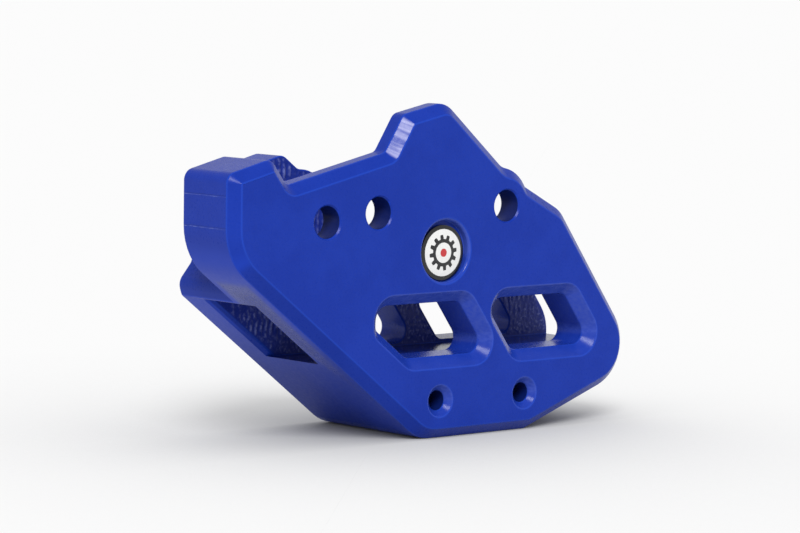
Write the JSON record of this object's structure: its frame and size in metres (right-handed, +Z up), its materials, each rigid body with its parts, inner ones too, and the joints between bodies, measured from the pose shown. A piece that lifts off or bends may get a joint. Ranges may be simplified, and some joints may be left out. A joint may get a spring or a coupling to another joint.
{
  "type": "motorcycle chain guide",
  "caption": "Blue plastic rear chain guide for a dirt bike, with a straight chain tunnel, windowed side walls, a slotted bolt-on mounting and a round badge.",
  "frame": {"origin": "middle of the length and of the width, on the plane of the flat underside", "axes": "+X along the chain tunnel towards the round nose, +Y away from the front face with the badge, +Z up from the underside to the peak"},
  "size_m": [0.1386, 0.0454, 0.0886],
  "materials": {
    "blue_plastic": "satin, milled",
    "label": "glossy domed label with a black rim"
  },
  "bodies": {
    "root": {"guide_body": "blue_plastic", "badge": "label"}
  },
  "joints": []
}
